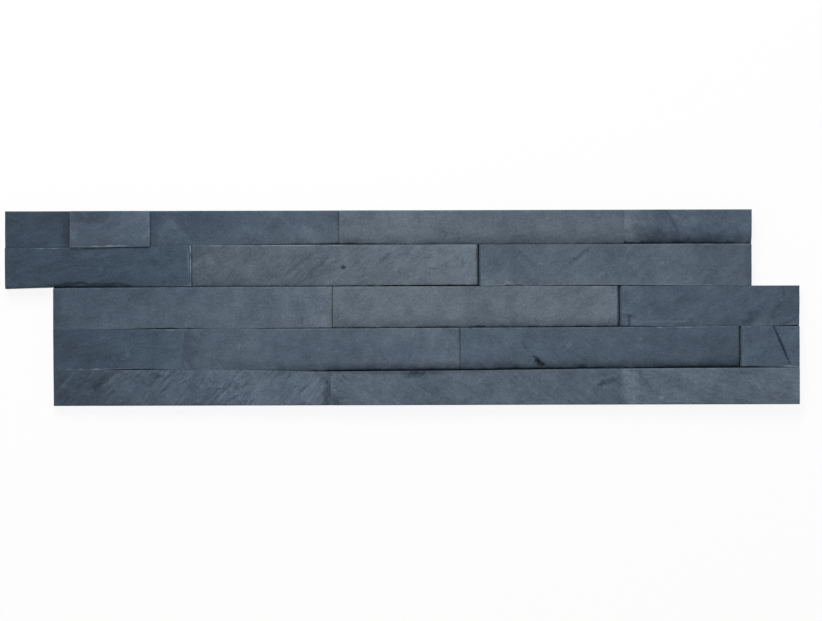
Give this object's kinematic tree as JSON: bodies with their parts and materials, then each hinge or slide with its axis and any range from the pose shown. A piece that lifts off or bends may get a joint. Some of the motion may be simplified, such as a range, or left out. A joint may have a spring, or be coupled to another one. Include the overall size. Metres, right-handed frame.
{
  "type": "slate wall cladding panel",
  "caption": "Flat interlocking wall cladding panel of riven slate strips bonded in offset courses, with stepped ends and a flat sawn back for fixing with tile adhesive.",
  "frame": {"origin": "middle of the panel's overall rectangle, on the back face", "axes": "+X along the courses to the right as seen from the front, +Y up the wall, +Z out of the wall; the panel is stored lying on its back"},
  "size_m": [0.6, 0.1472, 0.0165],
  "materials": {
    "slate": "riven, matt, blue-grey",
    "slate_dark": "riven, matt, dark blue-grey",
    "slate_light": "riven, matt, pale blue-grey",
    "adhesive": "cured dark adhesive, dull"
  },
  "bodies": {
    "root": {"course1_strip1": "slate_dark", "course1_strip2": "slate_light", "course1_strip3": "slate", "course1_strip4": "slate", "course1_strip5": "slate_dark", "course2_strip1": "slate_dark", "course2_strip2": "slate_light", "course2_strip3": "slate", "course3_strip1": "slate", "course3_strip2": "slate_light", "course3_strip3": "slate", "course4_strip1": "slate_dark", "course4_strip2": "slate", "course4_strip3": "slate_dark", "course4_strip4": "slate_dark", "course5_strip1": "slate", "course5_strip2": "slate", "course5_strip3": "slate_light", "bed_film1": "adhesive", "bed_film2": "adhesive", "bed_film3": "adhesive", "bed_film4": "adhesive"}
  },
  "joints": []
}
